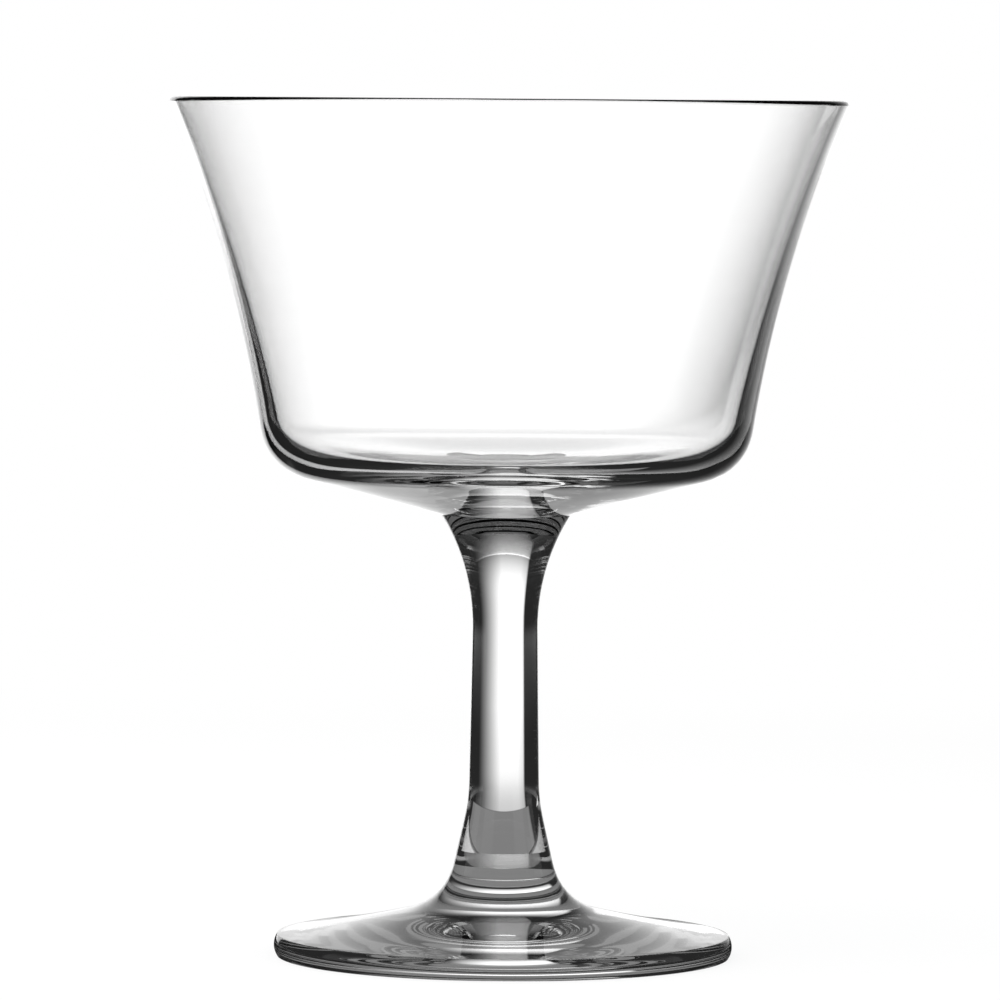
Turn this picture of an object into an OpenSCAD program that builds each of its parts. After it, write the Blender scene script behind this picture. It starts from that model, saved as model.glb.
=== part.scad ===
// A stemmed coupe glass: a flared bowl on a thick glass base, a slender stem and a disc foot.
// The three gathers of glass are turned about the vertical axis and fused face to face.
// Millimetres. The origin is the centre of the plane the foot stands on, and the rim is up.

/* [Glass] */
// Height of the whole glass
glass_h = 114; // [108:0.5:120]
// Diameter of the rim, across its outside
rim_d = 90; // [84:0.5:96]

/* [Bowl] */
// Height of the bowl above its joint with the stem
bowl_h = 55.2; // [52:0.1:58]
// Diameter of the bowl at the heel, the round turn from the wall into the base
heel_d = 65.6; // [62:0.1:70]
// Outer radius of the heel
heel_r = 8; // [6:0.1:10]
// How much further the wall leans out at the rim than a straight wall would, in degrees
lip_flare = 7; // [3:0.5:11]
// Slope of the underside, in degrees from level
base_slope = 14.6; // [12:0.1:17]
// Thickness of the wall at the rim
lip_t = 1; // [0.8:0.05:1.4]
// Thickness of the glass round the heel
heel_t = 2.2; // [1.6:0.05:3]
// How much higher the inner round of the heel sits than the outer one, which thickens the base
floor_lift = 0.6; // [0:0.1:1.2]
// Slope of the floor inside the bowl, in degrees from level
floor_slope = 11.3; // [9:0.1:14]
// Radius of the round hollow at the middle of the floor
floor_r = 60; // [20:1:80]

/* [Stem] */
// Diameter of the flared top, at its joint with the bowl
stem_top_d = 17.2; // [14:0.1:20]
// Radius of the sweep from the waist out to the flared top
top_flare_r = 28; // [16:0.5:34]
// Diameter of the waist, where the stem is narrowest
waist_d = 8.7; // [7:0.1:11]
// Lean of the stem below its waist, in degrees from upright
stem_taper = 0.85; // [0.4:0.05:1.6]
// Height of the cone that the stem widens into at its lower end
cone_h = 8.5; // [7:0.1:10]
// Radius of the sweep from the stem into that cone
low_flare_r = 24; // [12:1:32]

/* [Foot] */
// Height of the foot with the neck that is drawn up from it
foot_h = 12.3; // [11:0.1:14]
// Diameter of the neck at its joint with the stem
neck_d = 13.2; // [12:0.1:15]
// Radius of the sweep from the neck out over the foot
neck_r = 8.2; // [6.5:0.1:9]
// Diameter of the foot
foot_d = 61; // [55:0.5:67]
// How much flatter the top of the foot is at its edge than a straight cone would be, in degrees
foot_dish = 3.1; // [1.5:0.1:5]
// Thickness of the foot at its edge
edge_t = 2.8; // [2.2:0.1:3.4]
// How far the edge bulges past its corners
edge_bulge = 0.43; // [0.2:0.01:0.8]
// Width of the flat ring that the glass stands on
ring_w = 3; // [2:0.5:5]
// Rise of the hollow underside at its middle
hollow_rise = 0.8; // [0.4:0.1:1.4]

/* [Hidden] */
$fn = 180;
clear_glass = [0.86, 0.91, 0.92, 0.45];
wall_steps = 24;
turn_steps = 14;
stem_top_r = stem_top_d / 2;
stem_top_z = glass_h - bowl_h;
waist_r = waist_d / 2;
neck_top_r = neck_d / 2;

// The wall runs from a rim that is a full round down to two heel rounds, the inner one set higher
lip_r = lip_t / 2;
lip_c = [rim_d / 2 - lip_r, glass_h - lip_r];
heel_x = heel_d / 2 - heel_r;
heel_c = [heel_x, stem_top_z + (heel_x - stem_top_r) * tan(base_slope) + heel_r / cos(base_slope)];
straight_lean = acos((heel_r - lip_r) / norm(lip_c - heel_c)) - bearing(lip_c - heel_c);
lip_lean = straight_lean + lip_flare;
outside = polar(1, -lip_lean);
inner_heel_r = heel_r - heel_t;
inner_heel_c = heel_c + [0, floor_lift];
floor_start = inner_heel_c + polar(inner_heel_r, floor_slope - 90);
floor_c = [0, floor_start.y - floor_start.x * tan(floor_slope) + floor_r / cos(floor_slope)];

// The lower sweep of the stem rounds the corner between its taper and its cone
flare_lean = acos(1 - (stem_top_r - waist_r) / top_flare_r);
waist_z = stem_top_z - top_flare_r * sin(flare_lean);
waist_c = [waist_r + top_flare_r, waist_z];
taper_start = waist_c - polar(top_flare_r, stem_taper);
corner_z = foot_h + cone_h;
corner = [taper_start.x + (taper_start.y - corner_z) * tan(stem_taper), corner_z];
cone_lean = atan2(neck_top_r - corner.x, cone_h);
corner_cut = low_flare_r * tan((cone_lean - stem_taper) / 2);
low_flare_c = corner + corner_cut * [-sin(stem_taper), cos(stem_taper)] + polar(low_flare_r, stem_taper);

// The top of the foot is a wide sweep that runs into the sweep of the neck
neck_top = [neck_top_r, foot_h];
neck_c = neck_top + polar(neck_r, cone_lean);
edge_corner_r = foot_d / 2 - edge_bulge;
edge_top = [edge_corner_r, edge_t];
straight_slope = 90 - bearing(neck_c - edge_top) + acos(neck_r / norm(neck_c - edge_top));
foot_slope = straight_slope - foot_dish;
above_edge = polar(1, 90 - foot_slope);
sweep_r = touching_r(edge_top, above_edge, neck_c, -neck_r);
sweep_c = edge_top + sweep_r * above_edge;
sweep_end = bearing(neck_c - sweep_c);
bulge_r = bulge_radius(edge_t / 2, edge_bulge);
bulge_c = [foot_d / 2 - bulge_r, edge_t / 2];
bulge_a = asin(edge_t / 2 / bulge_r);
hollow_edge_r = edge_corner_r - ring_w;
hollow_r = bulge_radius(hollow_edge_r, hollow_rise);
hollow_a = asin(hollow_edge_r / hollow_r);

function polar(r, a) = [r * cos(a), r * sin(a)];

// Direction of v, from 0 to 360 degrees
function bearing(v) = (atan2(v.y, v.x) + 360) % 360;

function arc(c, r, from, to, steps) = [for (i = [0:steps]) c + polar(r, from + (to - from) * i / steps)];

// Radius of an arc whose chord has this half length and this rise
function bulge_radius(half_chord, rise) = (half_chord * half_chord + rise * rise) / (2 * rise);

// Radius of the arc that starts at p, has its centre in direction n and touches the circle
// of radius r about c. A negative r means that the arc holds that circle inside it.
function touching_r(p, n, c, r) = ((p - c) * (p - c) - r * r) / (2 * (r - n * (p - c)));

// One side of the bowl's wall, from the rim down to a heel of radius r about c, and round that heel
function side(start, c, r, slope) =
    let (
        wall_r = touching_r(start, outside, c, r),
        wall_c = start + wall_r * outside,
        touch = bearing(c - wall_c)
    )
    concat(
        arc(wall_c, wall_r, 180 - lip_lean, touch, wall_steps),
        arc(c, r, touch - 180, slope - 90, turn_steps)
    );

function reversed(points) = [for (i = [len(points) - 1:-1:0]) points[i]];

function bowl_outline() = concat(
    arc(lip_c, lip_r, 180 - lip_lean, -lip_lean, turn_steps),
    side(lip_c + lip_r * outside, heel_c, heel_r, base_slope),
    [[stem_top_r, stem_top_z], [0, stem_top_z]],
    arc(floor_c, floor_r, -90, floor_slope - 90, turn_steps),
    reversed(side(lip_c - lip_r * outside, inner_heel_c, inner_heel_r, floor_slope))
);

function stem_outline() = concat(
    [[0, foot_h], [0, stem_top_z]],
    arc(waist_c, top_flare_r, 180 - flare_lean, 180 + stem_taper, wall_steps),
    arc(low_flare_c, low_flare_r, 180 + stem_taper, 180 + cone_lean, turn_steps),
    [neck_top]
);

function foot_outline() = concat(
    [[0, hollow_rise], [0, foot_h]],
    arc(neck_c, neck_r, 180 + cone_lean, sweep_end, wall_steps),
    arc(sweep_c, sweep_r, sweep_end, 270 - foot_slope, turn_steps),
    arc(bulge_c, bulge_r, bulge_a, -bulge_a, turn_steps),
    arc([0, hollow_rise - hollow_r], hollow_r, 90 - hollow_a, 90, turn_steps)
);

module turned(outline) {
    color(clear_glass) rotate_extrude() polygon(outline);
}

module bowl() {
    turned(bowl_outline());
}

module stem() {
    turned(stem_outline());
}

module foot() {
    turned(foot_outline());
}

bowl();
stem();
foot();
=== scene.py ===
"""The looks of the coupe glass: three turned pieces of clear glass in a plain bright studio.

The CAD model is loaded as a fixed frame. Each of its pieces is replaced by a finer turned
mesh of the same outline, because what shows through glass depends on smooth curves.
"""
import math

import bpy
from mathutils import Matrix, Vector


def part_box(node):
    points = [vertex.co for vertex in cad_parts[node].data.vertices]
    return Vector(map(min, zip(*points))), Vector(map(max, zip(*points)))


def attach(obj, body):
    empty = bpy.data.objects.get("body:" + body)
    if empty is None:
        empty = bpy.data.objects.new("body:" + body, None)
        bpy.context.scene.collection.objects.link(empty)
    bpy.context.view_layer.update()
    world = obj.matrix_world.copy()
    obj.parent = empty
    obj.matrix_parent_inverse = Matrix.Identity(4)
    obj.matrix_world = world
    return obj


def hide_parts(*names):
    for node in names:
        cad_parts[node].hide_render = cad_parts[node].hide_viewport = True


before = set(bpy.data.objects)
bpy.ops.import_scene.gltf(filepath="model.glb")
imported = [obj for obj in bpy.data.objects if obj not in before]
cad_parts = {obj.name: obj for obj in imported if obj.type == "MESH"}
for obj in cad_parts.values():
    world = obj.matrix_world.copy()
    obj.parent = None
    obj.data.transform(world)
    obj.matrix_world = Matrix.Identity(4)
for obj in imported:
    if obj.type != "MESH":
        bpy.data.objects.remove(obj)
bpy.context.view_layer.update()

MM = 0.001

# Sizes that the frame gives
_, foot_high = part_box("foot")
_, stem_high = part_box("stem")
bowl_low, bowl_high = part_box("bowl")
GLASS_HEIGHT = bowl_high[2]
RIM_RADIUS = bowl_high[0]
STEM_TOP_Z = bowl_low[2]
STEM_TOP_RADIUS = stem_high[0]
FOOT_RADIUS = foot_high[0]
FOOT_HEIGHT = foot_high[2]

# Sizes of the outlines, as in the CAD model
LIP_THICKNESS = 1.0 * MM
HEEL_THICKNESS = 2.2 * MM
FLOOR_LIFT = 0.6 * MM
HEEL_RADIUS_OUT = 65.6 / 2 * MM
HEEL_ROUND = 8.0 * MM
LIP_FLARE = 7.0
BASE_SLOPE = 14.6
FLOOR_SLOPE = 11.3
FLOOR_ROUND = 60.0 * MM
WAIST_RADIUS = 8.7 / 2 * MM
TOP_FLARE_ROUND = 28.0 * MM
STEM_TAPER = 0.85
CONE_HEIGHT = 8.5 * MM
LOW_FLARE_ROUND = 24.0 * MM
NECK_RADIUS = 13.2 / 2 * MM
NECK_ROUND = 8.2 * MM
FOOT_DISH = 3.1
EDGE_THICKNESS = 2.8 * MM
EDGE_BULGE = 0.43 * MM
RING_WIDTH = 3.0 * MM
HOLLOW_RISE = 0.8 * MM

# Fineness of the turned meshes, where ARC_STEP is in degrees
SEGMENTS = 256
EASE_STEP = 0.2 * MM
EASE_SPREAD = 1.2 * MM
LONGEST_STEP = 0.6 * MM
ARC_STEP = 1.5

# Closer than this, two points are one, or a point is on the axis
SAME_POINT = LONGEST_STEP / 1000
ON_AXIS = EASE_STEP / 2

# The photograph's camera: its lens is in millimetres, and its angles are in degrees
CAMERA_DISTANCE = 1.003
CAMERA_LENS = 272.2
CAMERA_PITCH = 3.04
CAMERA_YAW = 0.046
CAMERA_ROLL = 0.42
CAMERA_CLIP = (0.05, 20)

# How often light may turn in the glass
BOUNCES = 24
GLOSSY_BOUNCES = 16

# The glass
GLASS_TINT = (0.99, 0.99, 0.99, 1)
GLASS_IOR = 1.52
SHADOW_TINT = (0.93, 0.94, 0.94, 1)

# The waves and marks in the glass, which are deeper by the BASE values in the base of the bowl.
# Heights are in metres, and so is where that base lies: its top, its foot and its reach.
WAVE_SCALE = 80.0
WAVE_DETAIL = 1.0
WAVE_HEIGHT = 1.2e-5
MARK_SCALE = 450.0
MARK_DETAIL = 2.0
MARK_DRIFT = 0.15
MARK_HEIGHT = 1.0e-6
BASE_WAVE = 6.0e-5
BASE_MARK = 1.2e-5
BASE_TOP = (0.069, 0.066)
BASE_FOOT = (0.0575, 0.0595)
BASE_REACH = (0.026, 0.018)

# The studio that shows in the glass: lit sheets and dark cards about it. Directions and widths are
# in degrees, levels are brightness, and the rest is in metres. A pair is a middle and a half width,
# or the two ends of a soft edge.
SHEET_LEVEL = 1.35
DARK_LEVEL = 0.02
SHEET_SOFT = 4

# The main sheet behind the glass, full bright at SHEET_FULL
SHEET_LEFT = (-26.5, -23)
SHEET_FULL = -16
LEFT_LEVEL = 0.7
SHEET_RIGHT = (40, 4)
FADE_POWER = 1.9
SHEET_TOP = (35, 6)

# Further sheets: to both sides, at the two corners on the camera's side, and overhead
SIDE_SHEET = (90, 14)
BACK_SHEET = (135, 18)
OTHERS_TOP = (30, 12)
OTHERS_LEVEL = 0.3
OVERHEAD_RISE = (45, 65)
OVERHEAD_LEVEL = 0.1

# How the sheets' light is painted over the floor, fainter near the foot and bright far to the sides
# in reflections, with painted shade in a grey ring round the foot
NEAR_LEVEL = 0.38
REACH_GAIN = 1.8
FOOT_SHADE_EDGE = (0.063, 0.066)
FOOT_SHADE_LIT = (8, 40)
FOOT_SHADE_LEVEL = 0.17
FAR_SIDE = (75, 35)
FAR_SIDE_REACH = (0.4, 1.0)
FAR_SIDE_LEVEL = 0.7

# The floor's painted light and shade, as light that comes through the glass unreflected shows it
PLAIN_LEVEL = 0.85
PLAIN_REACH = (0.85, 0.3)
SIDE_REACH = (0.2, 0.3)
BACK_REACH = (0.04, 0.08)
FLOOR_BACK = (152, 36)
HIGH_RUN = 0.05
CORNER_SHEET = (-45, 22)
CORNER_REACH = (0.12, 0.14)

# Light from the stem, which finds painted shade on the floor: what its run to the floor has over
# the distance from the axis
STEM_RUN = -0.00125
STEM_RUN_EDGE = (0.0031, 0.0025)

# The same inside the corner sheet, where the far wall of the bowl needs a narrower test
SPARED_TURN = 9.0
SPARED_WIDTH = (4.0, 2.5)
SPARED_FROM = (0.165, 0.185)
SPARED_TO = (0.30, 0.285)
NARROW_RUN = -0.0013
NARROW_DRIFT = 6.1e-5
NARROW_EDGE = (0.0010, 0.0008)

# The painted light on the floor under the foot, lighter to one side
UNDER_LEVEL = 0.8
UNDER_LEAST = 0.7
UNDER_EDGE = (0.0305, 0.0292)

# Where the tests of Light Path's counts lie: none so far, and no more than the two sides of a wall
NONE_YET = 0.5
ONE_WALL = 2.5

# The floor itself, and the light on it
FLOOR_RADIUS = 20.0
FLOOR_SIDES = 96
FLOOR_DROP = 0.05 * MM
FLOOR_COLOUR = (0.9, 0.9, 0.9, 1)
FLOOR_GLOW = 0.75
SHADOW_REACH = (0.15, 0.45)
WORLD_LEVEL = 0.75
LAMP_PLACE = (-0.35, -0.25, 0.9)
LAMP_AIM = (0, 0, 0.05)
LAMP_SIZE = 0.6
LAMP_POWER = 6

WHITE = (1, 1, 1, 1)


def sin(degrees):
    return math.sin(math.radians(degrees))


def cos(degrees):
    return math.cos(math.radians(degrees))


def tan(degrees):
    return math.tan(math.radians(degrees))


def acos(share):
    return math.degrees(math.acos(share))


def asin(share):
    return math.degrees(math.asin(share))


def polar(radius, degrees):
    return Vector((radius * cos(degrees), radius * sin(degrees)))


def bearing(v):
    """Direction of v, from 0 to 360 degrees."""
    return math.degrees(math.atan2(v.y, v.x)) % 360


def arc(centre, radius, start, end):
    """Points along an arc, close enough together to look smooth through glass."""
    steps = max(4, math.ceil(abs(end - start) / ARC_STEP))
    steps = max(steps, math.ceil(radius * math.radians(abs(end - start)) / LONGEST_STEP))
    return [centre + polar(radius, start + (end - start) * i / steps) for i in range(steps + 1)]


def bulge_radius(half_chord, rise):
    return (half_chord**2 + rise**2) / (2 * rise)


def touching_radius(point, normal, centre, radius):
    """Radius of the arc from point, centred along normal, that touches the circle about centre.

    A negative radius means that the arc holds that circle inside it.
    """
    away = point - centre
    return (away.dot(away) - radius**2) / (2 * (radius - normal.dot(away)))


def joined(*stretches):
    """One outline from its stretches, with no point twice and straight runs divided."""
    points = []
    for point in (p for stretch in stretches for p in stretch):
        if not points:
            points.append(point)
            continue
        run = (point - points[-1]).length
        if run < SAME_POINT:
            continue
        pieces = max(1, math.ceil(run / LONGEST_STEP - 0.5))
        last = points[-1]
        points += [last.lerp(point, i / pieces) for i in range(1, pieces + 1)]
    return points


def evenly(points):
    """The same line as points EASE_STEP apart."""
    made = [points[0]]
    spare = 0.0
    for a, b in zip(points, points[1:]):
        run = (b - a).length
        while run > 0 and spare + run >= EASE_STEP:
            a = a.lerp(b, (EASE_STEP - spare) / run)
            made.append(a)
            run = (b - a).length
            spare = 0.0
        spare += run
    if (points[-1] - made[-1]).length > EASE_STEP / 2:
        made.append(points[-1])
    else:
        made[-1] = points[-1]
    return made


def eased(*stretches):
    """One line whose curve changes gradually where arcs and straights meet, as hot glass leaves it.

    An end on the axis stays level there, and any other end keeps its place and direction.
    """
    line = evenly(joined(*stretches))
    reach = math.ceil(3 * EASE_SPREAD / EASE_STEP)
    weights = [
        math.exp(-((i * EASE_STEP / EASE_SPREAD) ** 2) / 2) for i in range(-reach, reach + 1)
    ]
    total = sum(weights)

    def beyond(end, inner):
        if end.x < ON_AXIS:
            return Vector((-inner.x, inner.y))
        return 2 * end - inner

    def smoothed(points):
        before = [beyond(points[0], points[i]) for i in range(reach, 0, -1)]
        after = [beyond(points[-1], points[-1 - i]) for i in range(1, reach + 1)]
        padded = before + points + after
        made = []
        for i in range(len(points)):
            near = padded[i : i + 2 * reach + 1]
            made.append(sum((w * p for w, p in zip(weights, near)), Vector((0, 0))) / total)
        return made

    once = smoothed(line)
    twice = smoothed(once)
    made = [2 * a - b for a, b in zip(once, twice)]
    made[0], made[-1] = line[0], line[-1]
    if line[0].x < ON_AXIS:
        made[0] = Vector((0, made[1].y))
    if line[-1].x < ON_AXIS:
        made[-1] = Vector((0, made[-2].y))
    return made


# Centres and slopes that follow from the sizes, by the same sums as in the CAD model
LIP_ROUND = LIP_THICKNESS / 2
LIP_CENTRE = Vector((RIM_RADIUS - LIP_ROUND, GLASS_HEIGHT - LIP_ROUND))
HEEL_X = HEEL_RADIUS_OUT - HEEL_ROUND
HEEL_Z = STEM_TOP_Z + (HEEL_X - STEM_TOP_RADIUS) * tan(BASE_SLOPE) + HEEL_ROUND / cos(BASE_SLOPE)
HEEL_CENTRE = Vector((HEEL_X, HEEL_Z))
INNER_HEEL_CENTRE = HEEL_CENTRE + Vector((0, FLOOR_LIFT))
to_lip = LIP_CENTRE - HEEL_CENTRE
STRAIGHT_LEAN = acos((HEEL_ROUND - LIP_ROUND) / to_lip.length) - bearing(to_lip)
LIP_LEAN = STRAIGHT_LEAN + LIP_FLARE
OUTSIDE = polar(1, -LIP_LEAN)

FLARE_LEAN = acos(1 - (STEM_TOP_RADIUS - WAIST_RADIUS) / TOP_FLARE_ROUND)
WAIST_Z = STEM_TOP_Z - TOP_FLARE_ROUND * sin(FLARE_LEAN)
WAIST_CENTRE = Vector((WAIST_RADIUS + TOP_FLARE_ROUND, WAIST_Z))
taper_start = WAIST_CENTRE - polar(TOP_FLARE_ROUND, STEM_TAPER)
corner_z = FOOT_HEIGHT + CONE_HEIGHT
CORNER = Vector((taper_start.x + (taper_start.y - corner_z) * tan(STEM_TAPER), corner_z))
CONE_LEAN = math.degrees(math.atan2(NECK_RADIUS - CORNER.x, CONE_HEIGHT))


def side(start, centre, radius, slope):
    """One side of the bowl's wall, from the rim down to the heel and round it."""
    wall_radius = touching_radius(start, OUTSIDE, centre, radius)
    wall_centre = start + wall_radius * OUTSIDE
    touch = bearing(centre - wall_centre)
    wall = arc(wall_centre, wall_radius, 180 - LIP_LEAN, touch)
    return wall + arc(centre, radius, touch - 180, slope - 90)


def bowl_outline():
    """Up the inside from the middle of the floor, over the lip, and down the outside."""
    inner = HEEL_ROUND - HEEL_THICKNESS
    start = INNER_HEEL_CENTRE + polar(inner, FLOOR_SLOPE - 90)
    floor_z = start.y - start.x * tan(FLOOR_SLOPE) + FLOOR_ROUND / cos(FLOOR_SLOPE)
    floor_centre = Vector((0, floor_z))
    return joined(
        eased(
            arc(floor_centre, FLOOR_ROUND, -90, FLOOR_SLOPE - 90),
            reversed(side(LIP_CENTRE - LIP_ROUND * OUTSIDE, INNER_HEEL_CENTRE, inner, FLOOR_SLOPE)),
        ),
        arc(LIP_CENTRE, LIP_ROUND, 180 - LIP_LEAN, -LIP_LEAN),
        eased(
            side(LIP_CENTRE + LIP_ROUND * OUTSIDE, HEEL_CENTRE, HEEL_ROUND, BASE_SLOPE),
            [Vector((STEM_TOP_RADIUS, STEM_TOP_Z))],
        ),
    )


def stem_outline():
    """From the bowl down to the foot."""
    cut = LOW_FLARE_ROUND * tan((CONE_LEAN - STEM_TAPER) / 2)
    flare_start = CORNER + cut * Vector((-sin(STEM_TAPER), cos(STEM_TAPER)))
    centre = flare_start + polar(LOW_FLARE_ROUND, STEM_TAPER)
    return eased(
        arc(WAIST_CENTRE, TOP_FLARE_ROUND, 180 - FLARE_LEAN, 180 + STEM_TAPER),
        arc(centre, LOW_FLARE_ROUND, 180 + STEM_TAPER, 180 + CONE_LEAN),
        [Vector((NECK_RADIUS, FOOT_HEIGHT))],
    )


def foot_outline():
    """From the stem out to the edge, round it, and under the foot to the middle."""
    neck_top = Vector((NECK_RADIUS, FOOT_HEIGHT))
    neck_centre = neck_top + polar(NECK_ROUND, CONE_LEAN)
    edge_corner = FOOT_RADIUS - EDGE_BULGE
    edge_top = Vector((edge_corner, EDGE_THICKNESS))
    away = neck_centre - edge_top
    slope = 90 - bearing(away) + acos(NECK_ROUND / away.length) - FOOT_DISH
    above = polar(1, 90 - slope)
    sweep = touching_radius(edge_top, above, neck_centre, -NECK_ROUND)
    sweep_centre = edge_top + sweep * above
    sweep_end = bearing(neck_centre - sweep_centre)
    bulge = bulge_radius(EDGE_THICKNESS / 2, EDGE_BULGE)
    bulge_angle = asin(EDGE_THICKNESS / 2 / bulge)
    hollow_edge = edge_corner - RING_WIDTH
    hollow = bulge_radius(hollow_edge, HOLLOW_RISE)
    return joined(
        eased(
            arc(neck_centre, NECK_ROUND, 180 + CONE_LEAN, sweep_end),
            arc(sweep_centre, sweep, sweep_end, 270 - slope),
        ),
        arc(Vector((FOOT_RADIUS - bulge, EDGE_THICKNESS / 2)), bulge, bulge_angle, -bulge_angle),
        arc(Vector((0, HOLLOW_RISE - hollow)), hollow, 90 - asin(hollow_edge / hollow), 90),
    )


def turned(name, outline, joint_above=None, joint_below=None):
    """A closed piece turned from an outline, and the indices of the faces at its joints.

    An end of the outline is on the axis, or it is a joint, which is closed flat at that height.
    """
    verts, faces, joint_faces, sharp = [], [], [], set()

    def ring(point):
        if point.x < SAME_POINT:
            verts.append((0, 0, point.y))
            return [len(verts) - 1]
        first = len(verts)
        for i in range(SEGMENTS):
            angle = 2 * math.pi * i / SEGMENTS
            verts.append((point.x * math.cos(angle), point.x * math.sin(angle), point.y))
        return list(range(first, first + SEGMENTS))

    def band(a, b, marks=None):
        for i in range(SEGMENTS):
            j = (i + 1) % SEGMENTS
            if len(a) == 1:
                faces.append((a[0], b[i], b[j]))
            elif len(b) == 1:
                faces.append((a[i], b[0], a[j]))
            else:
                faces.append((a[i], b[i], b[j], a[j]))
            if marks is not None:
                marks.append(len(faces) - 1)

    rings = [ring(point) for point in outline]
    for a, b in zip(rings, rings[1:]):
        band(a, b)
    for end, height in ((rings[0], joint_above), (rings[-1], joint_below)):
        if height is None:
            continue
        centre = ring(Vector((0, height)))
        if end is rings[0]:
            band(centre, end, joint_faces)
        else:
            band(end, centre, joint_faces)
        sharp.update(end)
    mesh = bpy.data.meshes.new(name)
    mesh.from_pydata(verts, [], faces)
    mesh.validate()
    flat = set(joint_faces)
    for polygon in mesh.polygons:
        polygon.use_smooth = polygon.index not in flat
    for edge in mesh.edges:
        if edge.vertices[0] in sharp and edge.vertices[1] in sharp:
            edge.use_edge_sharp = True
    piece = bpy.data.objects.new(name, mesh)
    bpy.context.scene.collection.objects.link(piece)
    return piece, joint_faces


def node(tree, kind, **values):
    made = tree.nodes.new(kind)
    for key, value in values.items():
        setattr(made, key, value)
    return made


def maths(tree, operation, *inputs, clamp=False):
    made = node(tree, "ShaderNodeMath", operation=operation, use_clamp=clamp)
    for i, value in enumerate(inputs):
        if isinstance(value, (int, float)):
            made.inputs[i].default_value = value
        else:
            tree.links.new(value, made.inputs[i])
    return made.outputs[0]


def product(tree, *factors):
    made = factors[0]
    for factor in factors[1:]:
        made = maths(tree, "MULTIPLY", made, factor)
    return made


def brightest(tree, *levels):
    made = levels[0]
    for level in levels[1:]:
        made = maths(tree, "MAXIMUM", made, level)
    return made


def rest(tree, share):
    """What a share leaves of 1."""
    return maths(tree, "SUBTRACT", 1.0, share)


def ramp(tree, value, dark, bright):
    """0 at dark and 1 at bright, smoothly."""
    made = node(tree, "ShaderNodeMapRange", interpolation_type="SMOOTHSTEP")
    tree.links.new(value, made.inputs["Value"])
    made.inputs["From Min"].default_value = dark
    made.inputs["From Max"].default_value = bright
    return made.outputs["Result"]


def coordinates(tree, vector):
    split = node(tree, "ShaderNodeSeparateXYZ")
    tree.links.new(vector, split.inputs[0])
    return split.outputs


def hot_glass_marks(tree):
    """The faint waves of hot glass and its fine turning marks, both deepest in the bowl's base."""
    place = node(tree, "ShaderNodeTexCoord").outputs["Object"]
    x, y, z = coordinates(tree, place)
    radius = maths(tree, "SQRT", maths(tree, "ADD", product(tree, x, x), product(tree, y, y)))

    waves = node(tree, "ShaderNodeTexNoise")
    tree.links.new(place, waves.inputs["Vector"])
    waves.inputs["Scale"].default_value = WAVE_SCALE
    waves.inputs["Detail"].default_value = WAVE_DETAIL

    around = node(tree, "ShaderNodeCombineXYZ")
    tree.links.new(radius, around.inputs[0])
    tree.links.new(product(tree, maths(tree, "ADD", x, y), MARK_DRIFT), around.inputs[1])
    tree.links.new(z, around.inputs[2])
    marks = node(tree, "ShaderNodeTexNoise")
    tree.links.new(around.outputs[0], marks.inputs["Vector"])
    marks.inputs["Scale"].default_value = MARK_SCALE
    marks.inputs["Detail"].default_value = MARK_DETAIL

    base = product(tree, ramp(tree, z, *BASE_TOP), ramp(tree, z, *BASE_FOOT))
    base = product(tree, base, ramp(tree, radius, *BASE_REACH))
    swell = maths(tree, "ADD", product(tree, base, BASE_WAVE), WAVE_HEIGHT)
    depth = maths(tree, "ADD", product(tree, base, BASE_MARK), MARK_HEIGHT)
    high = product(tree, maths(tree, "SUBTRACT", waves.outputs[0], 0.5), swell)
    fine = product(tree, maths(tree, "SUBTRACT", marks.outputs[0], 0.5), depth)
    high = maths(tree, "ADD", high, fine)
    bump = node(tree, "ShaderNodeBump")
    bump.inputs["Strength"].default_value = 1.0
    bump.inputs["Distance"].default_value = 1.0
    tree.links.new(high, bump.inputs["Height"])
    return bump.outputs[0]


def empty_material(name):
    material = bpy.data.materials.new(name)
    material.use_nodes = True
    material.node_tree.nodes.clear()
    return material, material.node_tree


def mixed(tree, share, first, second):
    """The first shader at a share of 0 and the second at 1."""
    made = node(tree, "ShaderNodeMixShader")
    for i, source in enumerate((share, first, second)):
        tree.links.new(source, made.inputs[i])
    return made.outputs[0]


def clear_glass():
    """Clear glass that lets most of the light through to its shadow."""
    material, tree = empty_material("clear_glass")
    shader = node(tree, "ShaderNodeBsdfPrincipled")
    shader.inputs["Base Color"].default_value = GLASS_TINT
    shader.inputs["Roughness"].default_value = 0.0
    shader.inputs["IOR"].default_value = GLASS_IOR
    shader.inputs["Transmission Weight"].default_value = 1.0
    tree.links.new(hot_glass_marks(tree), shader.inputs["Normal"])
    open_glass = node(tree, "ShaderNodeBsdfTransparent")
    open_glass.inputs["Color"].default_value = SHADOW_TINT
    path = node(tree, "ShaderNodeLightPath")
    surface = mixed(tree, path.outputs["Is Shadow Ray"], shader.outputs[0], open_glass.outputs[0])
    tree.links.new(surface, node(tree, "ShaderNodeOutputMaterial").inputs["Surface"])
    return material


def fused_joint():
    """The faces where two gathers are fused: nothing shows there, as the glass runs through."""
    material, tree = empty_material("fused_joint")
    clear = node(tree, "ShaderNodeBsdfTransparent")
    tree.links.new(clear.outputs[0], node(tree, "ShaderNodeOutputMaterial").inputs["Surface"])
    return material


GLASS = clear_glass()
JOINT = fused_joint()


def glass_piece(name, cad_node, outline, joint_above=None, joint_below=None):
    piece, joint_faces = turned(name, outline, joint_above, joint_below)
    piece.data.materials.append(GLASS)
    piece.data.materials.append(JOINT)
    for index in joint_faces:
        piece.data.polygons[index].material_index = 1
    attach(piece, "root")
    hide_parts(cad_node)


glass_piece("bowl_glass", "bowl", bowl_outline(), joint_below=STEM_TOP_Z)
glass_piece("stem_glass", "stem", stem_outline(), joint_above=STEM_TOP_Z, joint_below=FOOT_HEIGHT)
glass_piece("foot_glass", "foot", foot_outline(), joint_above=FOOT_HEIGHT)


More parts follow.
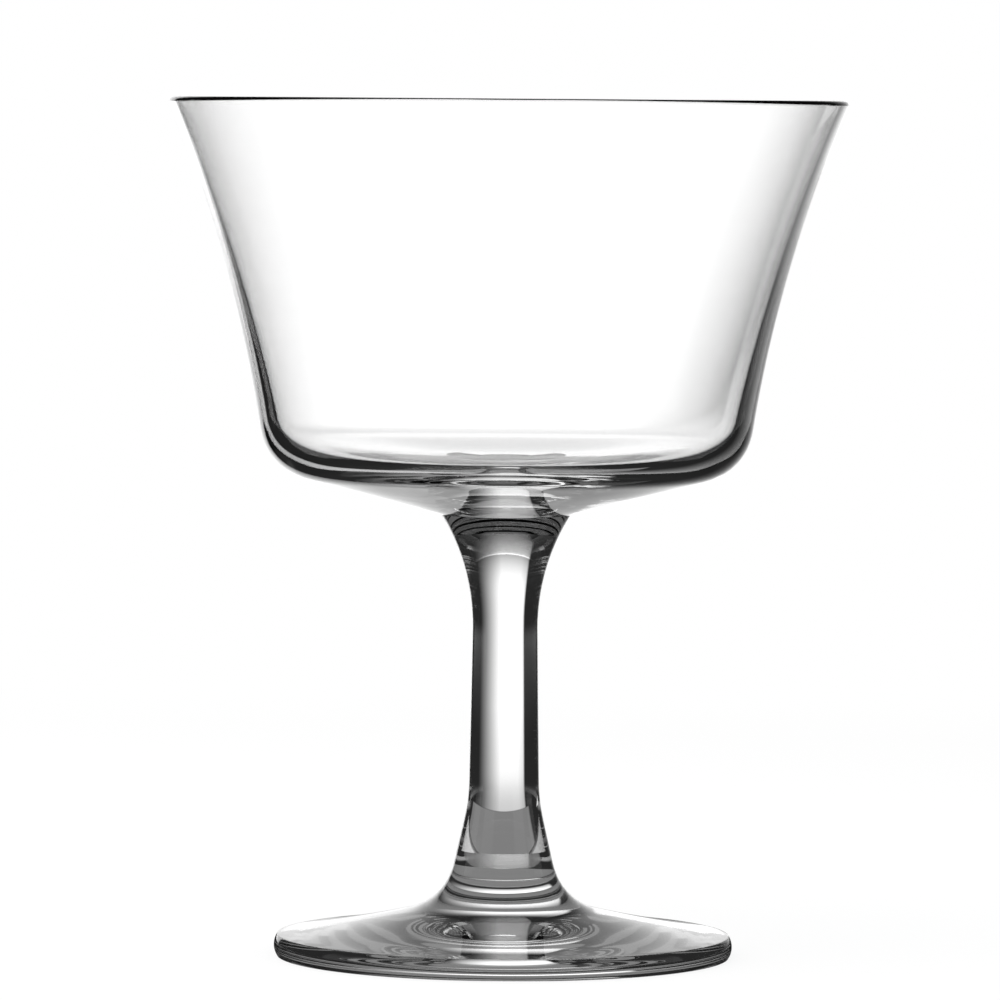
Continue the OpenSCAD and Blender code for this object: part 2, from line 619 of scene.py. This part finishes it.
def seen_in_glass(tree):
    """What Light Path says, and 1 for light that the glass reflects or lets through."""
    path = node(tree, "ShaderNodeLightPath").outputs
    return path, maths(tree, "ADD", path["Is Glossy Ray"], path["Is Transmission Ray"], clamp=True)


def straight_ramp(tree, value, dark, bright, least=0.0):
    """The least value at dark and 1 at bright, in a straight line."""
    made = node(tree, "ShaderNodeMapRange")
    tree.links.new(value, made.inputs["Value"])
    made.inputs["From Min"].default_value = dark
    made.inputs["From Max"].default_value = bright
    made.inputs["To Min"].default_value = least
    return made.outputs["Result"]


def main_sheet(tree, turn):
    """The lit sheet behind the glass, with a sharp left edge, that fades away to the right."""
    rise = straight_ramp(tree, turn, SHEET_LEFT[0], SHEET_FULL, LEFT_LEVEL)
    fade = maths(tree, "POWER", straight_ramp(tree, turn, *SHEET_RIGHT), FADE_POWER)
    return product(tree, ramp(tree, turn, *SHEET_LEFT), rise, fade)


def distance(tree, value, middle):
    return maths(tree, "ABSOLUTE", maths(tree, "SUBTRACT", value, middle))


def sheet_at(tree, turn, middle, half_width):
    """A further sheet about one direction, with soft edges."""
    return ramp(tree, distance(tree, turn, middle), half_width, half_width - SHEET_SOFT)


def compass(tree, x, y):
    """Degrees about the glass: 0 is behind it as photographed, and positive is to its right."""
    return product(tree, maths(tree, "ARCTAN2", x, y), 180 / math.pi)


def level_of(tree, share):
    """The brightness for a share of the sheets' light, which no dark card or painted shade falls
    below.
    """
    return brightest(tree, product(tree, share, SHEET_LEVEL), DARK_LEVEL)


def studio_world():
    """White to the camera, plain light on the floor, and the sheets to all that the glass shows."""
    world = bpy.data.worlds.new("studio")
    bpy.context.scene.world = world
    world.use_nodes = True
    tree = world.node_tree
    tree.nodes.clear()
    x, y, z = coordinates(tree, node(tree, "ShaderNodeTexCoord").outputs["Generated"])
    turn = compass(tree, x, y)
    away = maths(tree, "ABSOLUTE", turn)
    rise = product(tree, maths(tree, "ARCSINE", z), 180 / math.pi)

    sheet = product(tree, main_sheet(tree, turn), ramp(tree, rise, *SHEET_TOP))
    side = sheet_at(tree, away, *SIDE_SHEET)
    back = sheet_at(tree, away, *BACK_SHEET)
    others = maths(tree, "ADD", side, back)
    others = product(tree, others, ramp(tree, rise, *OTHERS_TOP), OTHERS_LEVEL)
    overhead = product(tree, ramp(tree, rise, *OVERHEAD_RISE), OVERHEAD_LEVEL)
    level = level_of(tree, brightest(tree, sheet, others, overhead))

    def background(strength):
        made = node(tree, "ShaderNodeBackground")
        made.inputs["Color"].default_value = WHITE
        made.inputs["Strength"].default_value = strength
        return made

    path, seen = seen_in_glass(tree)
    studio = background(1.0)
    tree.links.new(level, studio.inputs["Strength"])
    unseen = mixed(tree, seen, background(WORLD_LEVEL).outputs[0], studio.outputs[0])
    surface = mixed(tree, path["Is Camera Ray"], unseen, background(1.0).outputs[0])
    tree.links.new(surface, node(tree, "ShaderNodeOutputWorld").inputs["Surface"])


def painted_sheets_on_floor(tree, path, turn, away, reach):
    """The sheets' light painted over the floor, fainter near the foot, and painted shade in a grey
    ring round the foot.
    """
    growth = maths(tree, "ADD", product(tree, reach, REACH_GAIN), NEAR_LEVEL, clamp=True)
    sheet = product(tree, main_sheet(tree, turn), ramp(tree, reach, *FOOT_SHADE_EDGE), growth)

    # Painted reflection: only what the outside of the glass reflects shows the floor far to both
    # sides, painted bright
    outside = maths(tree, "LESS_THAN", path["Transmission Depth"], NONE_YET)
    far_side = product(tree, sheet_at(tree, away, *FAR_SIDE), ramp(tree, reach, *FAR_SIDE_REACH))
    far_side = product(tree, far_side, outside, FAR_SIDE_LEVEL)
    # Painted shade: a grey ring round the foot, grey in one sector and dark elsewhere
    in_foot_shade = ramp(tree, reach, *reversed(FOOT_SHADE_EDGE))
    painted_foot_shade = product(tree, in_foot_shade, sheet_at(tree, turn, *FOOT_SHADE_LIT), FOOT_SHADE_LEVEL)
    return brightest(tree, sheet, far_side, painted_foot_shade)


def painted_floor_through_glass(tree, path, x, turn, away, reach):
    """Painted light and shade on the floor, to light that comes through the glass unreflected."""
    passed = maths(tree, "LESS_THAN", path["Glossy Depth"], NONE_YET)
    one_wall = maths(tree, "LESS_THAN", path["Transmission Depth"], ONE_WALL)
    one_piece = maths(tree, "LESS_THAN", path["Transparent Depth"], NONE_YET)
    run = path["Ray Length"]

    # Painted shade: the floor ahead and behind is dark to the stem's light, so the stem keeps its
    # dark edges; its light has a run that fits its distance from the axis
    over = maths(tree, "SUBTRACT", run, reach)
    from_stem = product(tree, ramp(tree, distance(tree, over, STEM_RUN), *STEM_RUN_EDGE), one_wall)
    past_corner = maths(tree, "SUBTRACT", turn, CORNER_SHEET[0])
    off_corner = distance(tree, maths(tree, "ABSOLUTE", past_corner), SPARED_TURN)
    spared = product(tree, ramp(tree, reach, *SPARED_FROM), ramp(tree, reach, *SPARED_TO))
    spared = product(tree, spared, ramp(tree, off_corner, *SPARED_WIDTH))
    drift = product(tree, past_corner, NARROW_DRIFT)
    off_narrow = maths(tree, "ADD", drift, maths(tree, "SUBTRACT", over, NARROW_RUN))
    narrow = ramp(tree, maths(tree, "ABSOLUTE", off_narrow), *NARROW_EDGE)
    from_stem = product(tree, from_stem, rest(tree, product(tree, spared, rest(tree, narrow))))

    # The rest is the bowl, unless it comes from as near to the floor as the foot, and it sees
    # painted sheets of light ahead and behind
    high_up = maths(tree, "GREATER_THAN", run, HIGH_RUN)
    from_bowl = product(tree, rest(tree, from_stem), high_up)
    corner = brightest(tree, sheet_at(tree, turn, *CORNER_SHEET), ramp(tree, reach, *CORNER_REACH))
    corner = brightest(tree, corner, rest(tree, one_wall))
    ahead = product(tree, from_bowl, corner, ramp(tree, reach, *PLAIN_REACH))
    beyond_foot_shade = ramp(tree, reach, *BACK_REACH)
    behind = product(tree, from_bowl, sheet_at(tree, away, *FLOOR_BACK), beyond_foot_shade)

    # These two paint the same sheets' light on the floor, for every part of the glass
    side = product(tree, sheet_at(tree, away, *SIDE_SHEET), ramp(tree, reach, *SIDE_REACH))
    back = product(tree, sheet_at(tree, away, *BACK_SHEET), beyond_foot_shade)

    # Painted light under the foot, lighter towards +x, where nothing that crosses a joint is lit
    lit_side = straight_ramp(tree, x, -FOOT_RADIUS / 2, FOOT_RADIUS / 2, UNDER_LEAST)
    under = product(tree, ramp(tree, reach, *UNDER_EDGE), one_piece, lit_side, UNDER_LEVEL)
    return product(tree, brightest(tree, side, back, ahead, behind, under), passed, PLAIN_LEVEL)


def pale_floor():
    """A pale floor that keeps the shadow, and glows with painted light and shade, a studio floor
    that only the glass shows.
    """
    mesh = bpy.data.meshes.new("floor")
    turns = [2 * math.pi * i / FLOOR_SIDES for i in range(FLOOR_SIDES)]
    ring = [(FLOOR_RADIUS * math.cos(turn), FLOOR_RADIUS * math.sin(turn), 0) for turn in turns]
    mesh.from_pydata(ring, [], [tuple(range(FLOOR_SIDES))])
    floor = bpy.data.objects.new("floor", mesh)
    floor.location.z = -FLOOR_DROP
    bpy.context.scene.collection.objects.link(floor)
    material, tree = empty_material("pale_floor")
    mesh.materials.append(material)

    position = node(tree, "ShaderNodeNewGeometry").outputs["Position"]
    x, y, _ = coordinates(tree, position)
    turn = compass(tree, x, y)
    away = maths(tree, "ABSOLUTE", turn)
    length = node(tree, "ShaderNodeVectorMath", operation="LENGTH")
    tree.links.new(position, length.inputs[0])
    reach = length.outputs["Value"]
    path, seen = seen_in_glass(tree)
    sheets = painted_sheets_on_floor(tree, path, turn, away, reach)
    plain = painted_floor_through_glass(tree, path, x, turn, away, reach)

    paint = node(tree, "ShaderNodeBsdfDiffuse")
    paint.inputs["Color"].default_value = FLOOR_COLOUR
    bright = node(tree, "ShaderNodeEmission")
    # The glow is painted light and shade that only the glass sees: painted sheets of light and
    # painted dark patches
    glow = node(tree, "ShaderNodeEmission")
    tree.links.new(level_of(tree, brightest(tree, sheets, plain)), glow.inputs["Strength"])
    share = brightest(tree, ramp(tree, reach, *SHADOW_REACH), FLOOR_GLOW)
    share = product(tree, path["Is Camera Ray"], share)
    surface = mixed(tree, share, paint.outputs[0], bright.outputs[0])
    surface = mixed(tree, seen, surface, glow.outputs[0])
    tree.links.new(surface, node(tree, "ShaderNodeOutputMaterial").inputs["Surface"])


def soft_lamp():
    data = bpy.data.lights.new("soft_lamp", "AREA")
    data.shape = "DISK"
    data.size = LAMP_SIZE
    data.energy = LAMP_POWER
    lamp = bpy.data.objects.new("soft_lamp", data)
    lamp.location = LAMP_PLACE
    lamp.rotation_euler = (Vector(LAMP_AIM) - lamp.location).to_track_quat("-Z", "Y").to_euler()
    lamp.visible_glossy = False
    lamp.visible_transmission = False
    bpy.context.scene.collection.objects.link(lamp)


def photograph_camera():
    data = bpy.data.cameras.new("camera")
    data.lens = CAMERA_LENS
    data.clip_start, data.clip_end = CAMERA_CLIP
    camera = bpy.data.objects.new("camera", data)
    turn = Matrix.Rotation(math.radians(CAMERA_YAW), 4, "Z")
    tip = Matrix.Rotation(math.radians(90 - CAMERA_PITCH), 4, "X")
    roll = Matrix.Rotation(math.radians(CAMERA_ROLL), 4, "Z")
    place = Matrix.Translation((0, -CAMERA_DISTANCE, GLASS_HEIGHT))
    camera.matrix_world = place @ turn @ tip @ roll
    bpy.context.scene.collection.objects.link(camera)
    bpy.context.scene.camera = camera


studio_world()
pale_floor()
soft_lamp()
photograph_camera()
bpy.context.scene.view_settings.view_transform = "Standard"
cycles = bpy.context.scene.cycles
cycles.max_bounces = BOUNCES
cycles.glossy_bounces = GLOSSY_BOUNCES
cycles.transmission_bounces = BOUNCES
cycles.transparent_max_bounces = BOUNCES
